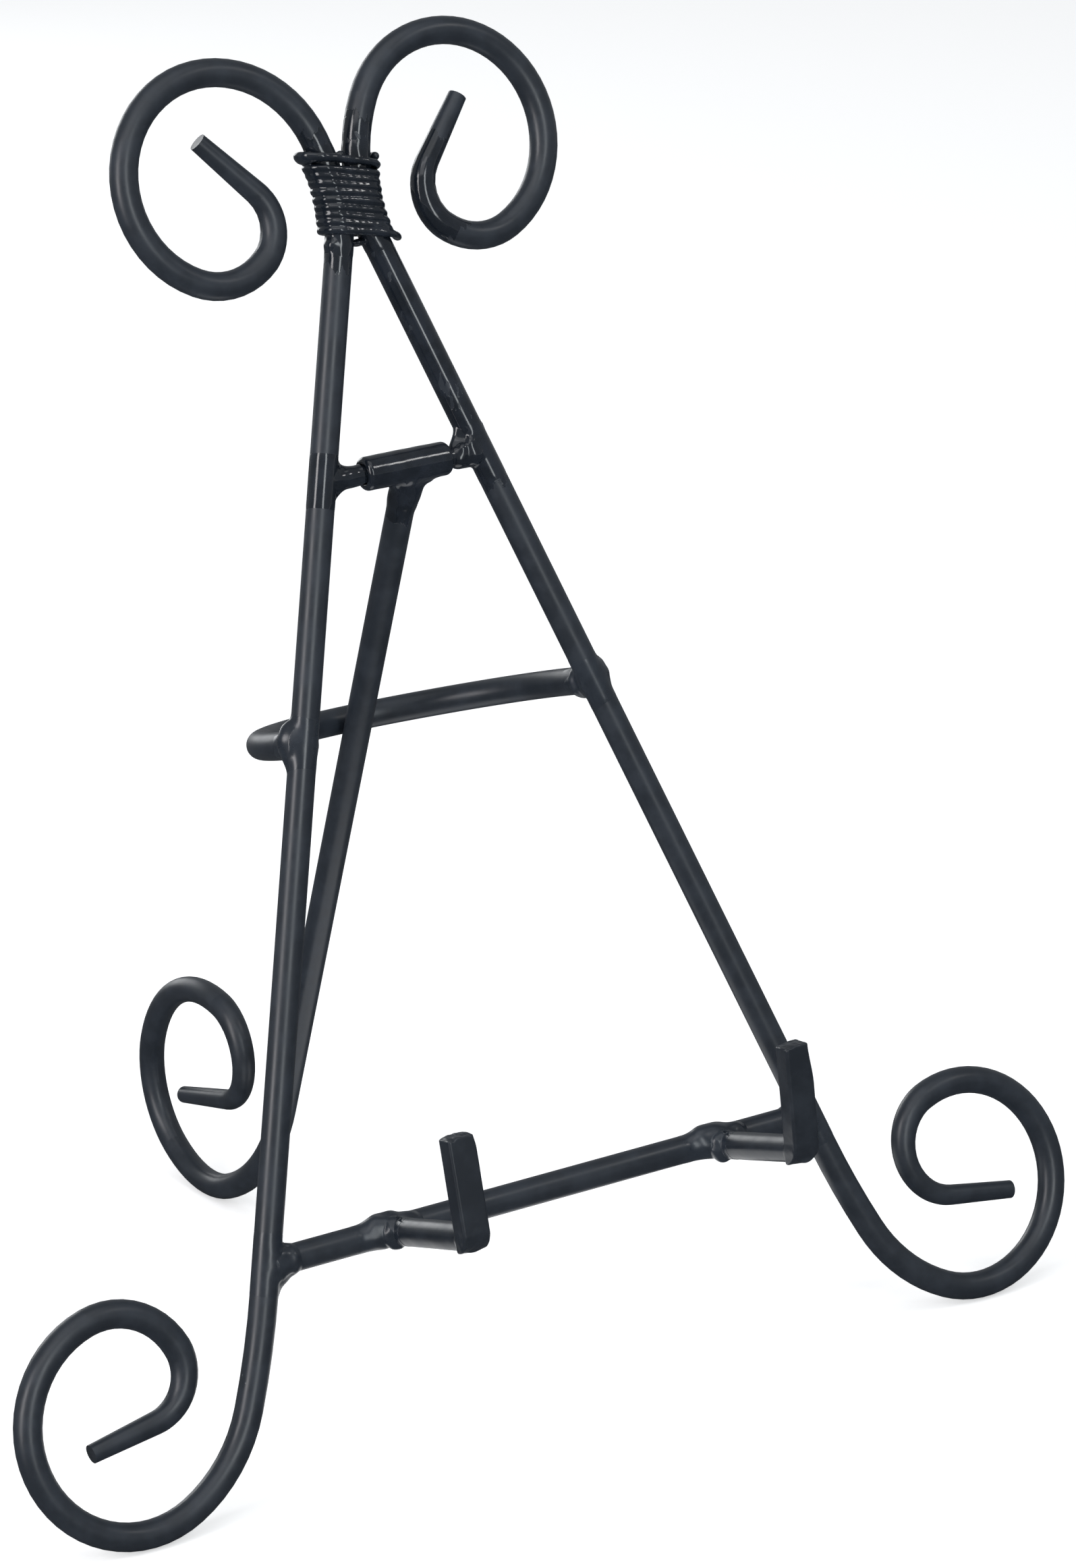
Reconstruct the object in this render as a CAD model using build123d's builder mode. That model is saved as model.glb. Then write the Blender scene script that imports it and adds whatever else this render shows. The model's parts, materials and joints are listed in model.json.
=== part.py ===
from build123d import *
import os
from math import cos, radians, sin, tan

os.makedirs("parts", exist_ok=True)

# Folding plate display stand: a bent-rod A-frame that leans back, with a hinged rear leg.
# Millimetres, +Z up, table top at z = 0, front of the stand towards -Y.

ROD = 6.0                 # bar stock of the frame, crossbar, hooks, stop bow and rear leg
TAIL_END = 4.0            # drawn-down end of every scroll
LEAN = 14.5               # the frame's slope back from vertical, degrees
FRAME_Y = -88.3           # where the frame plane meets the table
REF = 150.0               # height up the slope at which the frame's half widths are given
CROSSBAR_UP = 50.0        # crossbar's height up the slope
HINGE_UP = 205.5          # hinge pin's height up the slope
BOW_UP = 153.1            # stop bow's height up the slope

# Side rods, each bent by hand to its own shape. Bends are (radius, degrees), laid end to end.
# half: half width at REF; waist: height and half width where the rods come closest.
LEFT_ROD = dict(
    side=-1, half=37.3, splay=17.0,
    foot_from=44.97, foot=[(188, 7.5), (34, 40.6), (23, 191), (16, 82.5), (10.3, 102)], foot_tail=15.5,
    top_from=253.2, neck=(18, 9.3), waist=(262.1, 4.71),
    top=[(45.5, 25.3), (24.3, 70), (22.3, 155.5), (14.9, 67.5), (10, 91.7)], top_tail=16.5)
RIGHT_ROD = dict(
    side=1, half=35.7, splay=17.6,
    foot_from=43.35, foot=[(181, 7.1), (35.4, 39.2), (23, 149.2), (21.8, 77.8), (11.9, 150)], foot_tail=15.8,
    top_from=254.9, neck=(18, 10.7), waist=(263.1, 1.42),
    top=[(41, 36), (22, 84.5), (22.5, 130.8), (14.1, 66.9), (10, 87.7)], top_tail=16.2)

# Rear leg, hanging from the hinge
LEG_X = 0.6
LEG_ANGLE = 25.4          # from vertical, when it rests against the bow
LEG_STRAIGHT = 183.67
LEG_BENDS = [(55.6, 44), (28.9, 54.9), (20.3, 80.3), (32.1, 79.1), (12.1, 153.8)]
LEG_TAIL = 22.8

# Hinge
PIN_DIA = 4.0
SLEEVE_OD = 7.2
SLEEVE_BORE = 4.16        # running fit, 0.08 mm all round the pin
SLEEVE_LENGTH = 20.5
SLEEVE_X = -0.4

# Hooks: a round shank square to the frame, then a flattened upright. One tuple per hook:
# side position, drop below the crossbar's centre, shank reach, upright's forward lean, length
LEFT_HOOK = (-37.4, 0.2, 31.6, 3.6, 24.5)
RIGHT_HOOK = (44.0, 1.1, 30.2, 10.9, 26.6)
UPRIGHT_WIDTH = 6.4
UPRIGHT_THICK = 4.6

# Stop bow: straight, corner radius and turn at each end, then one crown arc
BOW_STRAIGHT = 8.7
BOW_CORNER = 46.3
BOW_TURN = 60.0

# Binding wire round the two rods where they meet
WIRE = 1.55
WIRE_PITCH = 1.67
WIRE_TURNS = 10
WIRE_FROM = 254.4         # height up the slope of its lowest turn, midway across
WIRE_TILT = 10.0          # turns slope down to the right, degrees
WIRE_GAP = 0.2

FRAME = Plane(origin=(0, FRAME_Y, 0), x_dir=(1, 0, 0), z_dir=(0, -cos(radians(LEAN)), sin(radians(LEAN))))
UP = FRAME.y_dir
FORWARD = FRAME.z_dir


def on_frame(across, up, forward=0.0):
    """Point given across the frame, up its slope and in front of its plane."""
    return FRAME.from_local_coords(Vector(across, up, forward))


def leg_at(rod, up):
    """Side position of a rod's straight run at a height up the slope."""
    return rod["side"] * (rod["half"] + (REF - up) * tan(radians(rod["splay"])))


def lay_bends(point, direction, bends, turn):
    """Lay tangent arcs end to end on the active plane; turn is 1 for anticlockwise."""
    for radius, angle in bends:
        arc = JernArc(start=point, tangent=direction, radius=radius, arc_size=turn * angle)
        point, direction = arc @ 1, arc % 1
    return point, direction


def disc(point, direction, diameter):
    """Round section square to a direction."""
    with BuildSketch(Plane(origin=point, z_dir=direction)) as section:
        Circle(diameter / 2)
    return section.sketch


def tapered_end(plane, point, direction, bend, turn, straight):
    """Last curl and straight end of a scroll, drawn down to TAIL_END, added to the active part."""
    with BuildLine(plane) as path:
        end, heading = lay_bends(point, direction, [bend], turn)
        Line(end, end + heading * straight)
    tip = disc(end + heading * straight, heading, TAIL_END)
    sweep(sections=[disc(point, direction, ROD), tip], path=path.line, multisection=True)


def side_rod(rod):
    """One side of the A-frame: foot scroll, straight leg, neck and top scroll in the frame plane."""
    side = rod["side"]
    foot_start = (leg_at(rod, rod["foot_from"]), rod["foot_from"])
    neck_start = (leg_at(rod, rod["top_from"]), rod["top_from"])
    down = radians(-90 + side * rod["splay"])
    up = radians(90 + side * rod["splay"])
    with BuildPart() as bar:
        with BuildLine(FRAME) as path:
            foot = lay_bends(foot_start, (cos(down), sin(down)), rod["foot"][:-1], side)
            Line(foot_start, neck_start)
            top = lay_bends(neck_start, (cos(up), sin(up)), [rod["neck"]] + rod["top"][:-1], -side)
        sweep(sections=disc(*top, ROD), path=path.line)
        tapered_end(FRAME, *foot, rod["foot"][-1], side, rod["foot_tail"])
        tapered_end(FRAME, *top, rod["top"][-1], -side, rod["top_tail"])
    return bar


def round_bar(start, end, diameter):
    """Straight round bar between two points, added to the active part."""
    with BuildSketch(Plane(origin=start, z_dir=end - start)) as section:
        Circle(diameter / 2)
    extrude(section.sketch, amount=(end - start).length)


def weld(plane, rings, bars):
    """Weld metal round a joint: ellipses stacked along the plane's normal, less the bars joined.
    A ring is (distance, long half, short half, shift of its centre along the plane's x)."""
    with BuildPart() as bead:
        for distance, along, across, shift in rings:
            with BuildSketch(plane.offset(distance)):
                with Locations((shift, 0)):
                    Ellipse(along, across)
        loft()
        for bar in bars:
            add(bar.part, mode=Mode.SUBTRACT)
    return bead


left_side_rod = side_rod(LEFT_ROD)
right_side_rod = side_rod(RIGHT_ROD)
side_rods = (left_side_rod, right_side_rod)

# Crossbar, coped to the two legs
with BuildPart() as crossbar:
    round_bar(on_frame(leg_at(LEFT_ROD, CROSSBAR_UP), CROSSBAR_UP),
              on_frame(leg_at(RIGHT_ROD, CROSSBAR_UP), CROSSBAR_UP), ROD)
    for bar in side_rods:
        add(bar.part, mode=Mode.SUBTRACT)


def hook(across, drop, reach, lean, length):
    """Plate hook: round shank square to the frame and a flattened upright at its end."""
    root = on_frame(across, CROSSBAR_UP - drop)
    rise = UP * cos(radians(lean)) + FORWARD * sin(radians(lean))
    heel = Vector(reach, -ROD / 2)
    top = heel + Vector(sin(radians(lean)), cos(radians(lean))) * length
    thick = Vector(cos(radians(lean)), -sin(radians(lean))) * UPRIGHT_THICK
    with BuildPart() as bar:
        middle = root + FORWARD * reach - UP * ROD / 2
        middle += (FORWARD * cos(radians(lean)) - UP * sin(radians(lean))) * UPRIGHT_THICK / 2
        with BuildSketch(Plane(origin=middle - rise * 3, x_dir=(1, 0, 0), z_dir=rise)):
            RectangleRounded(UPRIGHT_WIDTH, UPRIGHT_THICK, 0.9)
        extrude(amount=length + 3)
        with BuildSketch(Plane(origin=root, x_dir=FORWARD, z_dir=(-1, 0, 0))) as profile:
            with BuildLine():
                Polyline(heel, top, top + thick, heel + Vector(UPRIGHT_THICK / cos(radians(lean)), 0), close=True)
            make_face()
            fillet(profile.vertices().sort_by(Axis.Y)[:2].sort_by(Axis.X)[-1], radius=4.2)
        extrude(amount=UPRIGHT_WIDTH, both=True, mode=Mode.INTERSECT)
        round_bar(root, root + FORWARD * (reach + ROD * tan(radians(lean)) + 0.03), ROD)
        add(crossbar.part, mode=Mode.SUBTRACT)
    return bar


left_hook = hook(*LEFT_HOOK)
right_hook = hook(*RIGHT_HOOK)

# Hinge pin between the legs, and the sleeve that turns on it
pin_left = on_frame(leg_at(LEFT_ROD, HINGE_UP), HINGE_UP)
pin_right = on_frame(leg_at(RIGHT_ROD, HINGE_UP), HINGE_UP)
with BuildPart() as hinge_pin:
    round_bar(pin_left, pin_right, PIN_DIA)
    for bar in side_rods:
        add(bar.part, mode=Mode.SUBTRACT)

SLEEVE = Plane(origin=on_frame(SLEEVE_X, HINGE_UP), x_dir=(0, 1, 0), z_dir=(1, 0, 0))
with BuildPart() as hinge_sleeve:
    with BuildSketch(SLEEVE):
        Circle(SLEEVE_OD / 2)
        Circle(SLEEVE_BORE / 2, mode=Mode.SUBTRACT)
    extrude(amount=SLEEVE_LENGTH / 2, both=True)
    fillet(hinge_sleeve.edges().filter_by(GeomType.CIRCLE).sort_by(SortBy.RADIUS)[-2:], radius=0.8)

# Rear leg: a straight run from the sleeve and a foot scroll, in the plane x = LEG_X
LEG = Plane(origin=on_frame(LEG_X, HINGE_UP), x_dir=(0, 1, 0), z_dir=(1, 0, 0))
leg_down = Vector(sin(radians(LEG_ANGLE)), -cos(radians(LEG_ANGLE)))
leg_heading = LEG.from_local_coords(leg_down) - LEG.origin
with BuildPart() as back_leg:
    with BuildLine(LEG) as path:
        knee = LEG.from_local_coords(leg_down * LEG_STRAIGHT)
        Line(LEG.from_local_coords(leg_down * 2), knee)
        curl = lay_bends(knee, leg_heading, LEG_BENDS[:-1], 1)
    sweep(sections=disc(*curl, ROD), path=path.line)
    tapered_end(LEG, *curl, LEG_BENDS[-1], 1, LEG_TAIL)
    with BuildSketch(SLEEVE):
        Circle(SLEEVE_OD / 2)
    extrude(amount=SLEEVE_LENGTH / 2, both=True, mode=Mode.SUBTRACT)

# Stop bow behind the legs, square to the frame, coped to both
BOW = Plane(origin=on_frame(0, BOW_UP), x_dir=(1, 0, 0), z_dir=UP)
bow_left = leg_at(LEFT_ROD, BOW_UP)
bow_right = leg_at(RIGHT_ROD, BOW_UP)
bow_half = (bow_right - bow_left) / 2
bow_turn = radians(BOW_TURN)
crown = (bow_half - BOW_CORNER * (1 - cos(bow_turn))) / cos(bow_turn)
bow_bends = [(BOW_CORNER, BOW_TURN), (crown, 180 - 2 * BOW_TURN), (BOW_CORNER, BOW_TURN)]
with BuildPart() as stop_bow:
    with BuildLine(BOW) as path:
        Line((bow_right, 0), (bow_right, BOW_STRAIGHT))
        end, heading = lay_bends((bow_right, BOW_STRAIGHT), (0, 1), bow_bends, 1)
        Line(end, end + heading * BOW_STRAIGHT)
    sweep(sections=disc(on_frame(bow_right, BOW_UP), BOW.y_dir, ROD), path=path.line)
    for bar in side_rods:
        add(bar.part, mode=Mode.SUBTRACT)

# Binding wire, wound round both rods at the neck


def neck_at(rod, up):
    """Distance of a rod's centre from the middle near its waist."""
    waist_up, waist_half = rod["waist"]
    curve = waist_half + (up - waist_up) ** 2 / (2 * rod["top"][0][0])
    return max(abs(leg_at(rod, up)), curve) if up < waist_up else curve


reach = (ROD + WIRE) / 2 + WIRE_GAP
corners = []
for quarter in range(4 * WIRE_TURNS + 1):
    side = 1 if quarter % 4 in (0, 1) else -1
    rod = RIGHT_ROD if side > 0 else LEFT_ROD
    up = WIRE_FROM + quarter * WIRE_PITCH / 4 - side * (ROD / 2 + reach) * tan(radians(WIRE_TILT))
    corners.append(on_frame(side * (neck_at(rod, up) + reach), up, reach if quarter % 4 in (1, 2) else -reach))
with BuildPart() as binding_wire:
    with BuildLine() as path:
        FilletPolyline(*corners, radius=3.7)
    sweep(sections=disc(path.line @ 0, path.line % 0, WIRE), path=path.line)

# Welds
LEG_SLOPES = {bar["side"]: radians(bar["side"] * bar["splay"]) for bar in (LEFT_ROD, RIGHT_ROD)}


def along_leg(side):
    """Direction of a leg, up its length."""
    slope = LEG_SLOPES[side]
    return Vector(-sin(slope), 0, 0) + UP * cos(slope)


def leg_weld(side, up, heading, rings, bars):
    """Weld where a bar leaves a leg; the rings' long way follows the leg."""
    rod = LEFT_ROD if side < 0 else RIGHT_ROD
    return weld(Plane(origin=on_frame(leg_at(rod, up), up), x_dir=along_leg(side), z_dir=heading),
                rings, bars)


crossbar_rings = [(1.6, 5.6, 3.2, -0.6), (4.4, 4.1, 3.2, -0.4), (7.6, 3.15, 3.1, 0)]
crossbar_weld_left = leg_weld(-1, CROSSBAR_UP, Vector(1, 0, 0), crossbar_rings, side_rods + (crossbar,))
crossbar_weld_right = leg_weld(1, CROSSBAR_UP, Vector(-1, 0, 0), crossbar_rings, side_rods + (crossbar,))
pin_weld_left = leg_weld(-1, HINGE_UP, Vector(1, 0, 0), [(1.5, 4.2, 3.0, 0), (4.0, 3.0, 2.6, 0), (6.3, 2.15, 2.1, 0)],
                         side_rods + (hinge_pin,))
pin_weld_right = leg_weld(1, HINGE_UP, Vector(-1, 0, 0), [(1.5, 4.1, 3.0, 1.0), (4.5, 3.3, 2.9, 0.6), (7.8, 2.4, 2.3, 0)],
                          side_rods + (hinge_pin,))
bow_rings = [(1.6, 5.4, 3.3, 0), (4.0, 4.0, 3.3, 0), (6.4, 3.15, 3.1, 0)]
bow_weld_left = leg_weld(-1, BOW_UP, BOW.y_dir, bow_rings, side_rods + (stop_bow,))
bow_weld_right = leg_weld(1, BOW_UP, BOW.y_dir, bow_rings, side_rods + (stop_bow,))


def hook_weld(across, bars):
    """Lump of weld on the crossbar beside a hook's shank, fattest above and in front."""
    with BuildPart() as bead:
        with BuildSketch(Plane(origin=on_frame(across - 2.5, CROSSBAR_UP + 0.5, 0.8), x_dir=(1, 0, 0),
                               z_dir=FORWARD)):
            with BuildLine():
                ThreePointArc((-7.5, 0), (0, 3.7), (7.5, 0))
                Line((-7.5, 0), (7.5, 0))
            make_face()
        revolve(axis=Axis(on_frame(0, CROSSBAR_UP + 0.5, 0.8), (1, 0, 0)))
        for bar in bars:
            add(bar.part, mode=Mode.SUBTRACT)
    return bead


hook_weld_left = hook_weld(LEFT_HOOK[0], (crossbar, left_hook))
hook_weld_right = hook_weld(RIGHT_HOOK[0], (crossbar, right_hook))

leg_weld_plane = Plane(origin=LEG.origin, x_dir=(1, 0, 0), z_dir=leg_heading)
back_leg_weld = weld(leg_weld_plane, [(2.6, 5.6, 3.4, 1.9), (4.9, 4.6, 3.3, 1.2), (9.4, 3.15, 3.1, 0.1)],
                     (hinge_sleeve, back_leg))

nodes = {
    "left_side_rod": left_side_rod, "right_side_rod": right_side_rod, "binding_wire": binding_wire,
    "crossbar": crossbar, "crossbar_weld_left": crossbar_weld_left, "crossbar_weld_right": crossbar_weld_right,
    "left_hook": left_hook, "right_hook": right_hook,
    "hook_weld_left": hook_weld_left, "hook_weld_right": hook_weld_right,
    "hinge_pin": hinge_pin, "hinge_pin_weld_left": pin_weld_left, "hinge_pin_weld_right": pin_weld_right,
    "stop_bow": stop_bow, "stop_bow_weld_left": bow_weld_left, "stop_bow_weld_right": bow_weld_right,
    "hinge_sleeve": hinge_sleeve, "back_leg": back_leg, "back_leg_weld": back_leg_weld,
}
for name, piece in nodes.items():
    piece.part.label = name
    export_step(piece.part, f"parts/{name}.step")
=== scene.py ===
import json
import math

import bpy
import numpy as np
from mathutils import Matrix, Vector
from mathutils.bvhtree import BVHTree

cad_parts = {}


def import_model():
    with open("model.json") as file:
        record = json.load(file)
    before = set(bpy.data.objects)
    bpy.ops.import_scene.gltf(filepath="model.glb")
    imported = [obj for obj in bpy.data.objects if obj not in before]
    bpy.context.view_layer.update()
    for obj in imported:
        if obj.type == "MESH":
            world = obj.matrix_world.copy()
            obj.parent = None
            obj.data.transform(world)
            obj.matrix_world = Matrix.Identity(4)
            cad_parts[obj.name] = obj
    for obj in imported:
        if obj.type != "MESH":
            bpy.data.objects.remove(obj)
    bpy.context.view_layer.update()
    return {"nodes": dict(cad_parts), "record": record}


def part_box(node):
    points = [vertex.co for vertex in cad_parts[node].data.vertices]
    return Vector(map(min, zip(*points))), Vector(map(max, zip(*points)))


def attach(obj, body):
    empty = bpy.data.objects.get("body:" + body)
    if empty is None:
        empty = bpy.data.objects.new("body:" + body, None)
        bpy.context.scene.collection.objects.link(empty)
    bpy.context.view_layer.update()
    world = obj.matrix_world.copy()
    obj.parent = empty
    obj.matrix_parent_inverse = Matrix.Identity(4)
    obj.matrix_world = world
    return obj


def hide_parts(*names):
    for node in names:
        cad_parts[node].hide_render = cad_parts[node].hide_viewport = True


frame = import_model()
nodes = frame["nodes"]

# ------------------------------------------------- places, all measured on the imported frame
# Shapes are worked out in the leaning frame's own axes, in mm: across, up the slope, forward of its plane.

hinge = Vector(next(j["pos_m"] for j in frame["record"]["behaviour"]["joints"]))
_lo, _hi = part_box("crossbar")
_cross = (_lo + _hi) / 2
UP = Vector((0, hinge.y - _cross.y, hinge.z - _cross.z)).normalized()
FORWARD = Vector((0, -UP.z, UP.y))
ORIGIN = Vector((0, hinge.y - UP.y * hinge.z / UP.z, 0))
AXES = np.array([[1, 0, 0], list(UP), list(FORWARD)])
BAR = 3.0  # radius of every round bar
PAINT_PROUD, PAINT_SUNK = 0.04, 0.13  # how far weld skins stand out of a bar, and sink into it at their ends


def local(points):
    return (np.asarray(points, float) - np.array(ORIGIN)) @ AXES.T * 1000


def world(points):
    return np.asarray(points, float) / 1000 @ AXES + np.array(ORIGIN)


def turned(direction):
    """A world direction in the frame's axes."""
    return AXES @ np.asarray(direction, float)


def corners_of(node):
    p = local([v.co for v in nodes[node].data.vertices])
    return p.min(0), p.max(0), p


TREES = {}


def rod_at(node, up):
    """Middle of a side rod at a height, met first when looking outwards from the far side of the middle."""
    if node not in TREES:
        TREES[node] = BVHTree.FromPolygons([v.co for v in nodes[node].data.vertices],
                                           [p.vertices for p in nodes[node].data.polygons])
    side = Vector((-1 if node.startswith("left") else 1, 0, 0))
    first = TREES[node].ray_cast(Vector(world([-12 * side.x, up, 0])), side)[0]
    second = TREES[node].ray_cast(first + side * 1e-5, side)[0]
    return (first.x + second.x) * 500


LEGS = {}
for _side, _node in ((-1, "left_side_rod"), (1, "right_side_rod")):
    _slope = (rod_at(_node, 230) - rod_at(_node, 70)) / 160
    LEGS[_side] = (rod_at(_node, 70) - _slope * 70, _slope)


def leg_point(side, up):
    return np.array([LEGS[side][0] + LEGS[side][1] * up, up, 0.0])


def leg_dir(side):
    d = np.array([LEGS[side][1], 1, 0.0])
    return d / np.linalg.norm(d)


CROSS_UP = local(_cross)[1]
HINGE_UP = local(hinge)[1]
BOW_UP = (corners_of("stop_bow")[0] + corners_of("stop_bow")[1])[1] / 2

# ------------------------------------------------- shapes from distance fields


def step_up(x):
    """Smooth step from 0 to 1 as x goes from 0 to 1."""
    x = np.clip(x, 0, 1)
    return x * x * (3 - 2 * x)


def wobble(p, size, seed, rough=1):
    """Smooth bumps between about -1 and 1, with features of this size in mm."""
    rng = np.random.RandomState(seed)
    total, weight = np.zeros(len(p)), 0
    for octave in range(rough):
        amp = 0.55 ** octave
        for _ in range(5):
            k = rng.normal(size=3)
            k *= 2 * math.pi / size * 1.9 ** octave * rng.uniform(0.6, 1.3) / np.linalg.norm(k)
            total += amp * np.sin(p @ k + rng.uniform(0, 6.28))
        weight += amp * 2.2
    return total / weight


def lumpy(d, plain, p, amount, size, seed):
    """Bumps only where the metal stands proud of the plain shape."""
    return d + amount * np.clip((plain - d) / 0.7, 0, 1) * wobble(p, size, seed)


def join(a, b, k):
    """Union with a fillet of about k."""
    h = np.clip(0.5 + 0.5 * (b - a) / k, 0, 1)
    return b * (1 - h) + a * h - k * h * (1 - h)


def cut(a, b, r):
    """Intersection with its edge rounded to r."""
    return np.minimum(-r, np.maximum(a, b)) + np.hypot(np.maximum(a + r, 0), np.maximum(b + r, 0))


def bar(p, a, direction, r=BAR):
    """Endless round bar."""
    d = np.asarray(direction, float)
    d = d / np.linalg.norm(d)
    q = p - a
    return np.linalg.norm(q - np.outer(q @ d, d), axis=1) - r


def half_bar(p, a, direction, r=BAR):
    """Round bar from a, endless one way only."""
    return np.maximum(bar(p, a, direction, r), -(p - a) @ np.asarray(direction, float))


def stick(p, a, b, ra, rb):
    """Round-ended stick that tapers from ra to rb."""
    d = np.asarray(b, float) - a
    t = np.clip((p - a) @ d / (d @ d), 0, 1)
    return np.linalg.norm(p - a - np.outer(t, d), axis=1) - (ra + (rb - ra) * t)


def egg(p, c, radii):
    """Ellipsoid along the frame's axes."""
    q = p - c
    k0 = np.linalg.norm(q / radii, axis=1)
    k1 = np.linalg.norm(q / np.square(radii), axis=1)
    return k0 * (k0 - 1) / np.maximum(k1, 1e-6)


def box_of(p, lo, hi):
    return np.maximum(lo - p, p - hi).max(1)


def gradient(field, p, here=None, e=0.02):
    """Slope of a field; one-sided and cheaper when its value at p is given."""
    g = np.empty_like(p)
    for i in range(3):
        d = np.zeros(3)
        d[i] = e
        if here is None:
            g[:, i] = (field(p + d) - field(p - d)) / (2 * e)
        else:
            g[:, i] = (field(p + d) - here) / e
    return g


def skin(field, lo, hi, step):
    """Vertices, quads and normals of a field's zero surface inside a box (surface nets)."""
    lo, hi = np.asarray(lo, float), np.asarray(hi, float)
    whole = lambda p: np.maximum(field(p), box_of(p, lo, hi))
    n = np.ceil((hi - lo) / step).astype(int) + 5
    ax = [lo[i] - 2 * step + step * np.arange(n[i]) for i in range(3)]
    grid = np.stack(np.meshgrid(*ax, indexing="ij"), -1).reshape(-1, 3)
    value = np.concatenate([whole(g) for g in np.array_split(grid, max(1, len(grid) // 200000))]).reshape(n)
    inside = value < 0
    cells = sum(inside[i:n[0] - 1 + i, j:n[1] - 1 + j, k:n[2] - 1 + k].astype(int)
                for i in (0, 1) for j in (0, 1) for k in (0, 1))
    active = (cells > 0) & (cells < 8)
    index = -np.ones(active.shape, int)
    index[active] = np.arange(active.sum())
    p = np.argwhere(active) * step + (lo - 1.5 * step)
    centre = p.copy()
    quads = []
    for axis in range(3):
        u, v = (axis + 1) % 3, (axis + 2) % 3
        a = [slice(1, -1)] * 3
        b = [slice(1, -1)] * 3
        a[axis], b[axis] = slice(0, -1), slice(1, None)
        change = inside[tuple(a)] != inside[tuple(b)]
        at = np.argwhere(change)
        at[:, u] += 1
        at[:, v] += 1
        eu, ev = np.eye(3, dtype=int)[u], np.eye(3, dtype=int)[v]
        ring = np.stack([index[tuple((at - x * eu - y * ev).T)] for x, y in ((1, 1), (0, 1), (0, 0), (1, 0))], 1)
        flip = ~inside[tuple(a)][change]
        ring[flip] = ring[flip][:, ::-1]
        quads.append(ring)
    quads = np.concatenate(quads)
    for turn in range(6):
        d = whole(p)
        g = gradient(whole, p, d)
        p = p - (d / np.maximum((g * g).sum(1), 0.05))[:, None] * g
        p = np.clip(p, centre - step * 0.9, centre + step * 0.9)
        if turn < 4:
            total, count = np.zeros_like(p), np.zeros(len(p))
            for i in range(4):
                for j in ((i + 1) % 4, (i - 1) % 4):
                    np.add.at(total, quads[:, i], p[quads[:, j]])
                    np.add.at(count, quads[:, i], 1)
            p = p * 0.5 + total / count[:, None] * 0.5
    g = gradient(whole, p, e=0.05)
    return p, quads, g / np.linalg.norm(g, axis=1)[:, None]


def piece(name, field, lo, hi, step, body, stands_for, material):
    """Mesh of a field's surface, riding on a body in place of some CAD nodes."""
    p, quads, normals = skin(field, lo, hi, step)
    mesh = bpy.data.meshes.new(name)
    mesh.from_pydata(world(p).tolist(), [], quads.tolist())
    mesh.polygons.foreach_set("use_smooth", [True] * len(quads))
    mesh.update()
    mesh.validate()
    mesh.normals_split_custom_set_from_vertices((normals @ AXES).tolist())
    mesh.materials.append(material)
    o = bpy.data.objects.new(name, mesh)
    bpy.context.scene.collection.objects.link(o)
    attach(o, body)
    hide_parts(*stands_for)


def faded(d, away):
    """Skin that stands proud of a bar, and sinks into it as away goes from 0 to 1."""
    return d - PAINT_PROUD + (PAINT_PROUD + PAINT_SUNK) * step_up(away)


def painted(field, centre, near, far):
    """A field whose skin fades into the bar between two distances from a centre."""
    return lambda p: faded(field(p), (np.linalg.norm(p - centre, axis=1) - near) / (far - near))


# ------------------------------------------------- finishes

SATIN_ROUGH, WELD_ROUGH, HOOK_ROUGH = 0.37, 0.29, 0.34
SATIN_DARK, SATIN_LIGHT = (0.0115, 0.0155, 0.022, 1), (0.0165, 0.022, 0.031, 1)
GLOSS_DARK, GLOSS_LIGHT = (0.0065, 0.009, 0.013, 1), (0.012, 0.0155, 0.022, 1)


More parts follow.
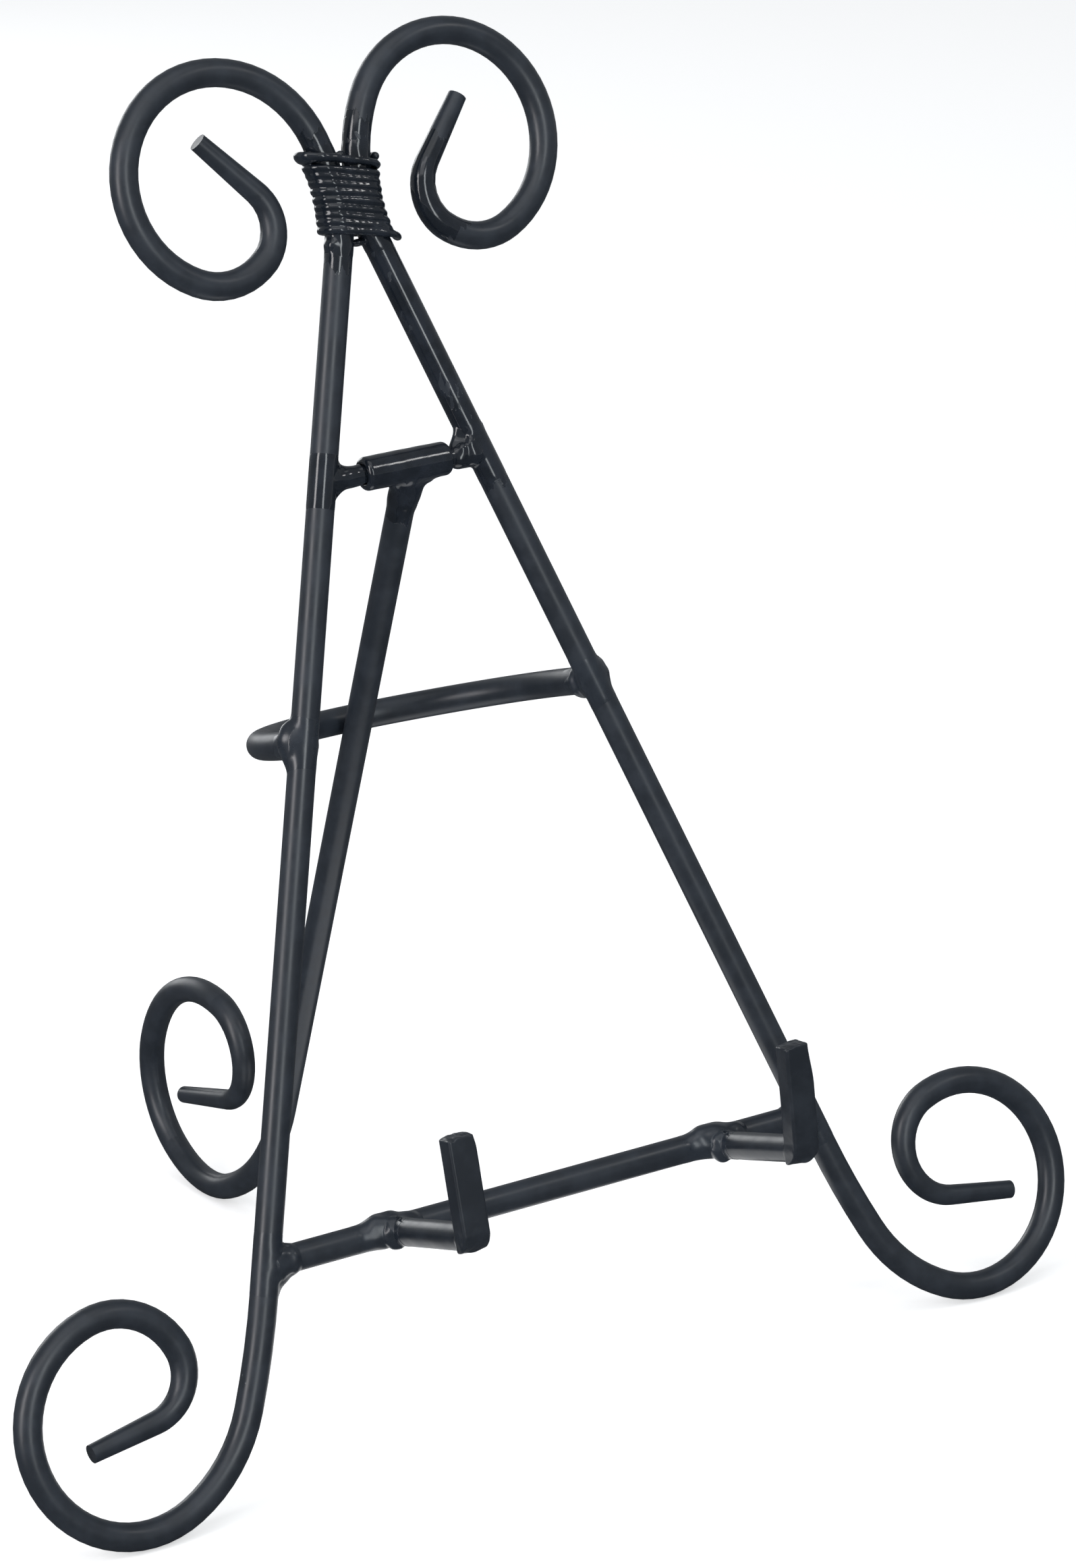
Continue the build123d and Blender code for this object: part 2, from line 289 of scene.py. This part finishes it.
class Nodes:
    """Short hand for building one material's nodes."""

    def __init__(self, name):
        self.mat = bpy.data.materials.new(name)
        self.mat.use_nodes = True
        self.tree = self.mat.node_tree
        self.shader = self.tree.nodes["Principled BSDF"]
        self.place = self.tree.nodes.new("ShaderNodeTexCoord").outputs["Object"]

    def put(self, socket, value):
        if isinstance(value, bpy.types.NodeSocket):
            self.tree.links.new(value, socket)
        else:
            socket.default_value = value

    def math(self, op, a, b=0.0, c=0.0):
        n = self.tree.nodes.new("ShaderNodeMath")
        n.operation = op
        for i, v in enumerate((a, b, c)):
            self.put(n.inputs[i], v)
        return n.outputs[0]

    def vec(self, op, a, b=(0, 0, 0), scale=None):
        n = self.tree.nodes.new("ShaderNodeVectorMath")
        n.operation = op
        self.put(n.inputs[0], a)
        self.put(n.inputs[1], b)
        if scale is not None:
            self.put(n.inputs["Scale"], scale)
        return n.outputs["Value" if op in ("DOT_PRODUCT", "LENGTH", "DISTANCE") else "Vector"]

    def noise(self, scale, detail=2.0, rough=0.5, stretch=None, distortion=0.0):
        n = self.tree.nodes.new("ShaderNodeTexNoise")
        self.put(n.inputs["Vector"], self.vec("MULTIPLY", self.place, stretch) if stretch else self.place)
        n.inputs["Scale"].default_value = scale
        n.inputs["Detail"].default_value = detail
        n.inputs["Roughness"].default_value = rough
        n.inputs["Distortion"].default_value = distortion
        return n.outputs["Fac"]

    def ramp(self, value, low, high, to_low=0.0, to_high=1.0):
        n = self.tree.nodes.new("ShaderNodeMapRange")
        n.interpolation_type = "SMOOTHSTEP"
        for i, v in enumerate((value, low, high, to_low, to_high)):
            self.put(n.inputs[i], v)
        return n.outputs[0]

    def mix(self, factor, a, b):
        n = self.tree.nodes.new("ShaderNodeMix")
        n.data_type = "RGBA"
        self.put(n.inputs[0], factor)
        self.put(n.inputs[6], a)
        self.put(n.inputs[7], b)
        return n.outputs[2]

    def bump(self, height, strength, distance, under=None):
        n = self.tree.nodes.new("ShaderNodeBump")
        self.put(n.inputs["Height"], height)
        n.inputs["Strength"].default_value = strength
        n.inputs["Distance"].default_value = distance
        if under is not None:
            self.put(n.inputs["Normal"], under)
        return n.outputs[0]

    def zone(self, a, b, radius, edge):
        """1 within the radius of the stick a to b, falling to 0 across a ragged edge; places in frame axes, mm."""
        a, b = Vector(world(a)), Vector(world(b))
        away = self.vec("SUBTRACT", self.place, tuple(a))
        if (b - a).length > 1e-6:
            along = self.math("DIVIDE", self.vec("DOT_PRODUCT", away, tuple(b - a)), (b - a).length_squared)
            along = self.math("MINIMUM", self.math("MAXIMUM", along, 0.0), 1.0)
            away = self.vec("SUBTRACT", away, self.vec("SCALE", tuple(b - a), scale=along))
        distance = self.math("ADD", self.vec("LENGTH", away), edge)
        return self.ramp(distance, (radius + 0.12) / 1000, (radius - 0.12) / 1000)


def finish(name, gloss=0.0, zones=(), rough=SATIN_ROUGH, weld=0.0, painted_shade=1.0):
    """Blue-black powder coat, with glossy brushed-on lacquer over the whole piece or inside some zones; its last
    argument scales the coat colours darker to paint in shade.
    """
    m = Nodes(name)
    broad = m.noise(28, 3)
    cloud = m.noise(170, 4, 0.6)
    peel = m.noise(1150, 2, 0.55)
    grain = m.noise(5200, 1)
    if zones:
        streaks = m.noise(520, 3, 0.6, stretch=(1.0, 0.35, 0.3))
        edge = m.math("MULTIPLY", m.math("SUBTRACT", streaks, 0.5), 0.0085)
        mask = None
        for a, b, radius in zones:
            z = m.zone(a, b, radius, edge)
            mask = z if mask is None else m.math("MAXIMUM", mask, z)
    else:
        mask = gloss
    # coat colours scaled darker here: painted shade, used for the hooks
    dark, light = ([c * painted_shade for c in tint[:3]] + [1] for tint in (SATIN_DARK, SATIN_LIGHT))
    coat = m.mix(m.ramp(cloud, 0.35, 0.68), dark, light)
    lacquer = m.mix(m.ramp(cloud, 0.4, 0.66), GLOSS_DARK, GLOSS_LIGHT)
    colour = m.mix(mask, coat, lacquer)
    # a few pale dust specks caught in the coat
    speck = m.tree.nodes.new("ShaderNodeTexVoronoi")
    m.put(speck.inputs["Vector"], m.place)
    speck.inputs["Scale"].default_value = 230
    dot = m.ramp(speck.outputs["Distance"], 0.075, 0.045)
    rare = m.ramp(m.vec("DOT_PRODUCT", speck.outputs["Color"], (1, 0, 0)), 0.90, 0.93)
    dust = m.math("MULTIPLY", dot, rare)
    colour = m.mix(m.math("MULTIPLY", dust, 0.55), colour, (0.16, 0.175, 0.19, 1))
    m.put(m.shader.inputs["Base Color"], colour)
    satin_rough = m.math("ADD", m.ramp(cloud, 0.3, 0.7, rough - 0.035, rough + 0.045),
                         m.ramp(broad, 0.35, 0.65, -0.02, 0.03))
    brushed = m.noise(900, 3, 0.6, stretch=(1.0, 0.3, 0.3))
    gloss_rough = m.ramp(brushed, 0.35, 0.7, 0.09, 0.17)
    satin_share = m.math("MULTIPLY", m.math("SUBTRACT", 1.0, mask), satin_rough)
    gloss_share = m.math("MULTIPLY", mask, gloss_rough)
    m.put(m.shader.inputs["Roughness"], m.math("ADD", satin_share, gloss_share))
    m.shader.inputs["IOR"].default_value = 1.5
    normal = m.bump(peel, 0.14, 0.00003)
    normal = m.bump(grain, 0.08, 0.00001, normal)
    normal = m.bump(cloud, 0.15, 0.00008 * (1 + weld), normal)
    if zones:
        normal = m.bump(mask, 0.5, 0.00005, normal)
    if zones or gloss:
        ripple = m.noise(330, 2, 0.5, stretch=(1.0, 0.55, 0.5), distortion=0.6)
        normal = m.bump(m.math("MULTIPLY", ripple, mask), 0.18, 0.00010, normal)
    normal = m.bump(dust, 0.4, 0.00004, normal)
    m.put(m.shader.inputs["Normal"], normal)
    return m.mat


leg_node = nodes["back_leg"]
leg_tree = BVHTree.FromPolygons([v.co for v in leg_node.data.vertices],
                                [p.vertices for p in leg_node.data.polygons])
_lo, _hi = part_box("back_leg")
LEG_X = (_lo.x + _hi.x) / 2


def rear_leg_at(drop):
    """Middle of the rear leg this far below the hinge."""
    first = leg_tree.ray_cast(Vector((LEG_X, _lo.y - 0.1, hinge.z - drop)), Vector((0, 1, 0)))[0]
    second = leg_tree.ray_cast(first + Vector((0, 1e-5, 0)), Vector((0, 1, 0)))[0]
    return (first + second) / 2


LEG_TOP = local(Vector((LEG_X, hinge.y, hinge.z)))
LEG_DOWN = turned((rear_leg_at(0.13) - rear_leg_at(0.04)).normalized())

sleeve_lo, sleeve_hi, _ = corners_of("hinge_sleeve")
wire_lo, wire_hi, _ = corners_of("binding_wire")
WIRE_BOTTOM, WIRE_TOP = wire_lo[1], wire_hi[1]
WIRE_UP = (WIRE_BOTTOM + WIRE_TOP) / 2
left_pin, right_pin = leg_point(-1, HINGE_UP), leg_point(1, HINGE_UP)

heights = WIRE_UP + np.arange(-18.5, 21.5)
LEFT_CURVE = np.polyfit(heights - WIRE_UP, [rod_at("left_side_rod", h) for h in heights], 8)
RIGHT_CURVE = np.polyfit(heights - WIRE_UP, [rod_at("right_side_rod", h) for h in heights], 8)


def necks(up):
    """Middles of both side rods near the binding, and the cosines of their slopes."""
    l, r = np.polyval(LEFT_CURVE, up - WIRE_UP), np.polyval(RIGHT_CURVE, up - WIRE_UP)
    ls, rs = (np.polyval(np.polyder(curve), up - WIRE_UP) for curve in (LEFT_CURVE, RIGHT_CURVE))
    return l, r, 1 / np.hypot(1, ls), 1 / np.hypot(1, rs)


SATIN = finish("powder_coat")
WELD = finish("powder_coat_on_weld", rough=WELD_ROUGH, weld=1.5)
GLOSS = finish("lacquer", gloss=1.0)
_above, _below = WIRE_TOP + 4.5, WIRE_BOTTOM - 2.4
_l, _r, _, _ = necks(np.array([_above, _below]))
_rod = corners_of("right_side_rod")[2]
_beside = (_rod[:, 1] > WIRE_BOTTOM) & (_rod[:, 1] < WIRE_TOP) & (_rod[:, 0] > wire_hi[0] + 2)
COIL = np.array([_rod[_beside, 0].min() + 3.7, WIRE_UP - 0.4, 0.0])  # inner coil of the right top scroll
COIL_REACH = 11.6
LEFT_ROD = finish("left_rod_finish", zones=[((_l[0], WIRE_TOP + 1.7, 0), (_l[1], _below + 0.5, 0), 3.9),
                                           (left_pin, left_pin, 5.2)])
RIGHT_ROD = finish("right_rod_finish", zones=[((_r[0] + 0.3, _above - 0.5, 0), (_r[1], _below, 0), 4.0),
                                             ((_r[1], _below, 0), right_pin - leg_dir(1) * 5, 4.2),
                                             (COIL, COIL, COIL_REACH)])
LEG = finish("rear_leg_finish", zones=[(LEG_TOP, LEG_TOP + LEG_DOWN * 9, 5.0)])
chosen = {"left_side_rod": LEFT_ROD, "right_side_rod": RIGHT_ROD, "back_leg": LEG, "hinge_pin": GLOSS}
for name, o in nodes.items():
    o.data.materials.clear()
    o.data.materials.append(chosen.get(name, SATIN))

# ------------------------------------------------- binding: ten turns of wire under brushed lacquer

TURNS, PITCH, TOP_GAP = 10, 1.63, 0.80
WIRE_R, TILT = 0.80, math.tan(math.radians(10))
REACH = BAR + WIRE_R + 0.03
FIRST = wire_lo[1] + 2.0
# how far the wire stands off the rods' outer sides, turn by turn
LOOSE_AT = [0.0, 0.16, 0.5, 1.5, 2.5, 3.5, 4.5, 5.5, 6.5, 7.5, 8.0, 8.5, 9.0, 9.5, 10.0]
LOOSE = [1.15, 0.15, 0.05, 0.0, 0.08, -0.02, 0.05, 0.0, 0.10, 0.05, 0.25, 0.35, 0.55, 0.75, 0.7]


def turns(p):
    """Wire wound round both rods: each point is measured by how far round the loop it lies, and on which turn."""
    across, up, out = p.T
    l, r, _, _ = necks(up)
    width = r - l
    x = np.clip(across, l, r)
    seg = np.hypot(across - x, out)
    q = math.pi * REACH / 2
    round_ = 2 * width + 4 * q
    right = REACH * np.arctan2(out, across - r)
    left = q + width + REACH * (math.pi / 2 - np.arctan2(out, l - across))
    arc = np.where(across > r, np.where(right < 0, round_ + right, right),
                   np.where(across < l, left, np.where(out > 0, q + r - across, 3 * q + width + across - l)))
    share = arc / round_
    sideways = np.abs(across - x) / np.maximum(seg, 1e-6)
    total = None
    for n in range(-1, TURNS + 1):
        s = n + share
        t = np.clip(s, 0, TURNS)
        uneven = 0.10 * np.sin(5.1 * t) + 0.06 * np.sin(13.7 * t)
        level = FIRST + PITCH * t + TOP_GAP * step_up((t - 8.7) / 0.75) + uneven
        loose = np.interp(t, LOOSE_AT, LOOSE) * sideways + 0.04 * np.sin(9.3 * t + 1)
        knob, end = np.exp(-((t - 9.5) / 0.08) ** 2), np.exp(-((t - 9.97) / 0.05) ** 2)
        thick = WIRE_R + 0.03 * np.sin(17 * t) + 0.50 * knob + 0.2 * end
        d = np.sqrt((seg - REACH - loose) ** 2 + (up + across * TILT - level) ** 2 * 0.97
                    + ((s - t) * round_) ** 2) - thick
        total = d if total is None else join(total, d, 0.75)
    return total


def rods_here(p):
    l, r, lc, rc = necks(p[:, 1])
    left = np.hypot((p[:, 0] - l) * lc, p[:, 2]) - BAR
    right = np.hypot((p[:, 0] - r) * rc, p[:, 2]) - BAR
    return join(left, right, 0.5)


def binding(p):
    up = p[:, 1]
    rods = rods_here(p) - 0.05 + 0.2 * step_up(np.abs(up - WIRE_UP) / 4 - 2.6)
    d = join(turns(p), rods, 0.55)
    l, r, _, _ = necks(np.array([WIRE_BOTTOM - 0.4, WIRE_TOP + 2.5]))
    d = join(d, egg(p, (l[0] - 2.0, WIRE_BOTTOM + 1.2, 0.6), (1.1, 1.2, 1.6)), 1.0)
    d = join(d, egg(p, ((l[0] + r[0]) / 2 + 0.2, WIRE_BOTTOM + 0.8, -0.3), (1.9, 0.8, 1.9)), 0.5)
    d = join(d, egg(p, ((l[1] + r[1]) / 2 - 0.2, WIRE_TOP - 0.7, 0.8), (1.0, 0.8, 1.0)), 0.5)
    return d + 0.02 * wobble(p, 1.8, 3)


piece("binding", binding, (wire_lo[0] - 3.7, WIRE_BOTTOM - 2.8, -6.3),
      (wire_hi[0] + 4.5, WIRE_TOP + 3.9, 6.4), 0.24, "frame", ["binding_wire"], GLOSS)

# ------------------------------------------------- hinge: sleeve with the rear leg welded on, and the pin's two welds

MID = (sleeve_lo[0] + sleeve_hi[0]) / 2
HALF = (sleeve_hi[0] - sleeve_lo[0]) / 2
SLEEVE_R = (sleeve_hi[2] - sleeve_lo[2]) / 2
PIN = np.array([0.0, HINGE_UP, 0.0])
CLEAR_OF_PIN = 2.14
ACROSS = np.array([1.0, 0, 0])


def knuckle(p):
    q = p - PIN
    tube = cut(np.hypot(q[:, 1], q[:, 2]) - SLEEVE_R, np.abs(q[:, 0] - MID) - HALF, 1.05)
    leg = stick(p, LEG_TOP + LEG_DOWN * 1.5, LEG_TOP + LEG_DOWN * 40, BAR, BAR)
    plain = np.minimum(tube, leg)
    d = join(tube, leg, 1.1)
    gusset = stick(p, LEG_TOP + LEG_DOWN * 4.6 + ACROSS * 2.9, LEG_TOP + LEG_DOWN * 8.4 + ACROSS * 0.3, 1.9, 2.6)
    d = join(d, gusset, 2.0)
    d = join(d, egg(p, LEG_TOP + LEG_DOWN * 3.4 + ACROSS * 4.2, (2.6, 1.2, 2.2)), 1.5)
    d = join(d, egg(p, LEG_TOP + LEG_DOWN * 4.4 - ACROSS * 2.0, (1.6, 1.0, 2.0)), 1.2)
    away = np.linalg.norm(p - LEG_TOP, axis=1)
    d = faded(d, (away - 11.5) / 5)
    d = lumpy(d + 0.02 * wobble(p, 6.0, 11), plain, p, 0.09, 2.6, 12)
    return np.maximum(d, CLEAR_OF_PIN - np.hypot(q[:, 1], q[:, 2]))


_foot = LEG_TOP + LEG_DOWN * 16.5
piece("hinge_knuckle", knuckle, (sleeve_lo[0] - 0.3, _foot[1] + 1.5, min(_foot[2], 0) - 4.2),
      (sleeve_hi[0] + 0.3, HINGE_UP + 4.2, 4.2), 0.26, "rear_leg", ["hinge_sleeve", "back_leg_weld"],
      GLOSS)


def hollow(p, a, b, below, above, level):
    """Union of a leg and a bar across it, with hollow fillets of these radii under and over the bar."""
    r = below + (above - below) * step_up((p[:, 1] - level) / 4 + 0.5)
    r = 0.5 + r * (1 - step_up(np.abs(p[:, 2]) / 2.9))
    return np.maximum(r, np.minimum(a, b)) - np.hypot(np.maximum(r - a, 0), np.maximum(r - b, 0))


def pin_weld_left(p):
    leg = bar(p, left_pin, leg_dir(-1))
    cone = np.maximum(half_bar(p, left_pin + ACROSS * 1.5, ACROSS, 2.35), p[:, 0] - sleeve_lo[0] + 0.3)
    return lumpy(hollow(p, leg, cone, 2.6, 2.2, HINGE_UP), leg, p, 0.08, 3.6, 21)


def pin_weld_right(p):
    leg = bar(p, right_pin, leg_dir(1))
    body = stick(p, (sleeve_hi[0] + 3.0, HINGE_UP - 0.1, 0), right_pin, 2.75, 2.9)
    body = np.maximum(body, p[:, 0] - right_pin[0] + 1.5)
    d = hollow(p, leg, body, 0.6, 4.6, HINGE_UP)
    d = join(d, egg(p, right_pin + (-2.6, 0.6, 2.3), (1.5, 3.2, 1.0)), 1.0)
    d = join(d, egg(p, right_pin + (-5.2, 0.7, 1.7), (1.0, 1.6, 1.2)), 0.7)
    return lumpy(d, leg, p, 0.10, 3.0, 31)


piece("pin_weld_left", painted(pin_weld_left, left_pin, 5.5, 8.5), left_pin - (4.6, 8, 3.9),
      (sleeve_lo[0] - 0.35, HINGE_UP + 8, 3.9), 0.26, "frame", ["hinge_pin_weld_left"], GLOSS)
piece("pin_weld_right", painted(pin_weld_right, right_pin, 6.2, 9.2),
      (sleeve_hi[0] + 0.35, HINGE_UP - 8.5, -3.9), right_pin + (4.8, 8.5, 3.9), 0.26, "frame",
      ["hinge_pin_weld_right"], GLOSS)

# ------------------------------------------------- welds of the crossbar and the stop bow to the legs


def cross_weld(side, big):
    at = leg_point(side, CROSS_UP)
    inward = np.array([-side, 0, 0.0])

    def field(p):
        plain = np.minimum(bar(p, at, leg_dir(side)), half_bar(p, at, inward))
        d = hollow(p, bar(p, at, leg_dir(side)), half_bar(p, at + inward * 1.5, inward), 5.2 * big, 1.2, CROSS_UP)
        d = join(d, egg(p, at + inward * 5.6 + (0, -0.1, 0), (1.5, 3.25, 3.2)), 0.8)
        d = join(d, egg(p, at + inward * 2.4 + (0, 0.0, 1.7), (2.2, 3.0, 1.0)), 1.8)
        d = join(d, egg(p, at + inward * 2.3 + (0, 5.6, 1.2), (0.5, 0.6, 0.5)), 0.5)
        d = join(d, egg(p, at + inward * 4.9 + (0, 3.0, 0.8), (0.9, 0.45, 0.8)), 0.4)
        return lumpy(d, plain, p, 0.09, 3.4, 41 + side)
    return field


def bow_weld(side):
    at = leg_point(side, BOW_UP)

    def field(p):
        leg = bar(p, at, leg_dir(side))
        d = join(leg, half_bar(p, at, (0, 0, -1)), 1.4)
        if side < 0:
            d = join(d, egg(p, at + (-2.3, 0.3, -1.5), (2.5, 4.6, 2.6)), 2.0)
            d = join(d, egg(p, at + (0.2, 0.1, -4.4), (3.5, 3.5, 1.1)), 0.5)
        else:
            d = join(d, egg(p, at + (-0.3, -0.1, -3.6), (3.5, 3.7, 1.9)), 0.6)
            d = join(d, egg(p, at + (1.7, 1.0, -0.7), (2.2, 3.8, 2.4)), 1.6)
        return lumpy(d, leg, p, 0.08, 3.2, 51 + side)
    return field


for side, tag, big in ((-1, "left", 1.0), (1, "right", 0.7)):
    at = leg_point(side, CROSS_UP)
    lo = at - ((4.6, 8.5, 4.2) if side < 0 else (9.5, 8.5, 4.2))
    hi = at + ((9.5, 8.5, 4.2) if side < 0 else (4.6, 8.5, 4.2))
    piece("cross_weld_" + tag, painted(cross_weld(side, big), at, 6.3, 9.2), lo, hi, 0.28, "frame",
          ["crossbar_weld_" + tag], WELD)
    at = leg_point(side, BOW_UP)
    piece("bow_weld_" + tag, painted(bow_weld(side), at - (0, 0, 1.5), 6.0, 8.6), at - (6.4, 8.2, 9.0),
          at + (6.4, 8.2, 4.2), 0.28, "frame", ["stop_bow_weld_" + tag], WELD)

# ------------------------------------------------- hooks, with hammered heels and rough sheared tops, and their welds

HEEL_RADIUS, SIDE_EDGE, BACK_EDGE, TOP_EDGE = 4.0, 0.62, 0.7, 0.35
record_mounts = {m["name"]: m for m in frame["record"]["mounts"]}


def hook(side):
    tag = "left" if side < 0 else "right"
    lo, hi, pts = corners_of(tag + "_hook")
    mount = record_mounts[tag + "_plate_stop"]
    face, normal = local(mount["pos_m"]), turned(mount["axis"])
    normal = normal / np.linalg.norm(normal)
    rise = np.cross(normal, ACROSS)
    rise = rise * np.sign(rise[1])
    middle, root = (lo[0] + hi[0]) / 2, lo[1] + BAR
    deep = -((pts - face) @ normal).min()
    top = ((pts - face) @ rise).max()
    half = (hi[0] - lo[0]) / 2
    shank_a, shank_b = np.array([middle, root, 0.0]), np.array([middle, root, face[2] + 1.0])

    def field(p):
        x = p[:, 0] - middle
        back = (p - face) @ normal
        high = (p - face) @ rise
        front = -deep - back
        heel = cut(front, lo[1] - p[:, 1], HEEL_RADIUS)
        narrow = 0.8 * step_up((high - top + 9) / 9) if side > 0 else 0.35 * step_up((high - top + 3) / 3)
        sides = np.maximum(x - half + narrow, -x - half)
        d = cut(cut(heel, sides, SIDE_EDGE), back, BACK_EDGE)
        crown = top + 0.15 - 0.35 * step_up((-x - 0.6) / 2.7) - 0.3 * step_up((-back - 0.8) / 4) * (side < 0)
        crown = crown + 0.16 * wobble(p, 2.6, 61 + side, 2)
        d = cut(d, high - crown, TOP_EDGE)
        shank = np.maximum(bar(p, shank_a, (0, 0, 1)), p[:, 2] - shank_b[2])
        d = join(d, shank, 0.7)
        worked = np.exp(-((p[:, 1] - lo[1]) ** 2 + (p[:, 2] - hi[2] + 1.5) ** 2) / 18)
        return d + (0.004 + 0.055 * worked) * wobble(p, 2.6, 63 + side, 2) + 0.02 * wobble(p, 9.0, 65 + side)

    piece("plate_hook_" + tag, field, (lo[0] - 0.3, lo[1] - 0.4, 1.5), (hi[0] + 0.3, hi[1] + 0.4, hi[2] + 0.4),
          0.27, "frame", [tag + "_hook"], HOOK)

    bead = np.array([middle - 2.5, CROSS_UP + 0.5, 0.8])

    def weld(p):
        d = join(bar(p, (0, CROSS_UP, 0), ACROSS), np.maximum(bar(p, shank_a, (0, 0, 1)), -p[:, 2]), 0.7)
        lump = egg(p, bead, (6.9, 3.8, 3.6)) + 0.12 * wobble(p, 4.2, 71 + side)
        collar = egg(p, (middle - 1.7, root + 0.1, 3.6), (2.9, 3.5, 2.2)) + 0.10 * wobble(p, 2.4, 73 + side)
        d = join(join(d, lump, 0.7), collar, 0.25)
        d = join(d, stick(p, (middle - 0.7, root + 2.9, 5.0), (middle - 1.6, root + 3.7, 5.5), 0.55, 0.12), 0.3)
        d = join(d, egg(p, (middle + 3.3, CROSS_UP + 0.5, 2.2), (1.9, 2.5, 1.6)), 1.6)
        near = np.hypot(p[:, 0] - bead[0], p[:, 2] - 1.5)
        return faded(d, (near - 6.8) / 2.6)

    piece("hook_weld_lump_" + tag, weld, bead - (9.4, 5.4, 5.2), bead + (9.4, 5.2, 6.6), 0.28, "frame",
          ["hook_weld_" + tag], WELD)


# the hooks' coat colours are darkened to 0.85 as painted shade on their faces
HOOK = finish("hook_finish_with_painted_shade", rough=HOOK_ROUGH, weld=0.6, painted_shade=0.85)
hook(-1)
hook(1)

# ------------------------------------------------- floor, light and camera

bpy.ops.mesh.primitive_plane_add(size=14, location=(0, 0, -0.00002))
floor = bpy.context.object
floor.name = "floor"
paper = Nodes("pale_floor")
paper.shader.inputs["Base Color"].default_value = (0.88, 0.88, 0.88, 1)
paper.shader.inputs["Roughness"].default_value = 0.8
paper.shader.inputs["Emission Color"].default_value = (1, 1, 1, 1)
paper.shader.inputs["Emission Strength"].default_value = 0.5
floor.data.materials.append(paper.mat)

scene = bpy.context.scene
scene.world = bpy.data.worlds.new("studio")
scene.world.use_nodes = True
sky = scene.world.node_tree.nodes["Background"]
sky.inputs["Color"].default_value = (0.92, 0.96, 1.0, 1)
sky.inputs["Strength"].default_value = 0.34
scene.view_settings.view_transform = "Standard"

TARGET = Vector((0.01052, -0.06511, 0.13328))


def axes_of(azimuth, elevation, roll=0.0):
    a, e, r = (math.radians(v) for v in (azimuth, elevation, roll))
    back = Vector((math.sin(a) * math.cos(e), -math.cos(a) * math.cos(e), math.sin(e)))
    right = Vector((math.cos(a), math.sin(a), 0))
    up = back.cross(right)
    return right * math.cos(r) + up * math.sin(r), up * math.cos(r) - right * math.sin(r), back


def camera(azimuth, elevation, roll, distance, lens):
    x, y, back = axes_of(azimuth, elevation, roll)
    data = bpy.data.cameras.new("camera")
    data.lens, data.sensor_width, data.sensor_fit = lens, 36, "AUTO"
    data.clip_start, data.clip_end = 0.05, 50
    cam = bpy.data.objects.new("camera", data)
    cam.matrix_world = Matrix.Translation(TARGET + back * distance) @ Matrix((x, y, back)).transposed().to_4x4()
    scene.collection.objects.link(cam)
    scene.camera = cam


def softbox(name, azimuth, elevation, distance, width, height, radiance, colour):
    x, y, back = axes_of(azimuth, elevation)
    data = bpy.data.lights.new(name, "AREA")
    data.shape, data.size, data.size_y = "RECTANGLE", width, height
    data.energy = radiance * math.pi * width * height
    data.color = colour
    lamp = bpy.data.objects.new(name, data)
    lamp.matrix_world = Matrix.Translation(TARGET + back * distance) @ Matrix((x, y, back)).transposed().to_4x4()
    scene.collection.objects.link(lamp)


# degrees of azimuth, elevation and roll; metres away; lens in mm
camera(-30.71, 16.71, -3.52, 1.15256, 126.0)
# degrees of azimuth and elevation; distance, width and height in metres; radiance; colour
softbox("left_softbox", -82, 21, 2.0, 0.50, 1.4, 8.0, (1.0, 0.965, 0.97))
softbox("near_softbox", -8, 20, 2.2, 0.42, 1.5, 7.0, (0.93, 0.98, 1.0))
softbox("front_softbox", -45, 50, 2.0, 1.2, 0.7, 1.35, (0.98, 0.98, 1.0))
softbox("top_softbox", -30, 76, 1.9, 1.8, 1.6, 0.85, (0.96, 0.98, 1.0))
softbox("right_softbox", 41.6, 42.5, 2.0, 0.30, 0.26, 11.0, (1.0, 0.99, 0.98))
softbox("back_softbox", -179, 12, 2.1, 0.9, 0.8, 3.0, (0.97, 0.99, 1.0))

# a dark card round the stand, seen only in its reflections, as flags are in a studio
card = bpy.data.meshes.new("flag")
rim = [(math.cos(t), math.sin(t)) for t in np.arange(48) * math.pi / 24]
inner = [(0.07 * x, 0.055 * y - 0.02, 0.0004) for x, y in rim]
outer = [(4 * x, 4 * y, 0.0004) for x, y in rim]
card.from_pydata(inner + outer, [], [(i, 48 + i, 48 + (i + 1) % 48, (i + 1) % 48) for i in range(48)])
flag = bpy.data.objects.new("flag", card)
scene.collection.objects.link(flag)
dark = Nodes("dark_card")
dark.shader.inputs["Base Color"].default_value = (0.10, 0.105, 0.11, 1)
dark.shader.inputs["Roughness"].default_value = 0.9
card.materials.append(dark.mat)
flag.visible_camera = flag.visible_diffuse = flag.visible_transmission = flag.visible_shadow = False
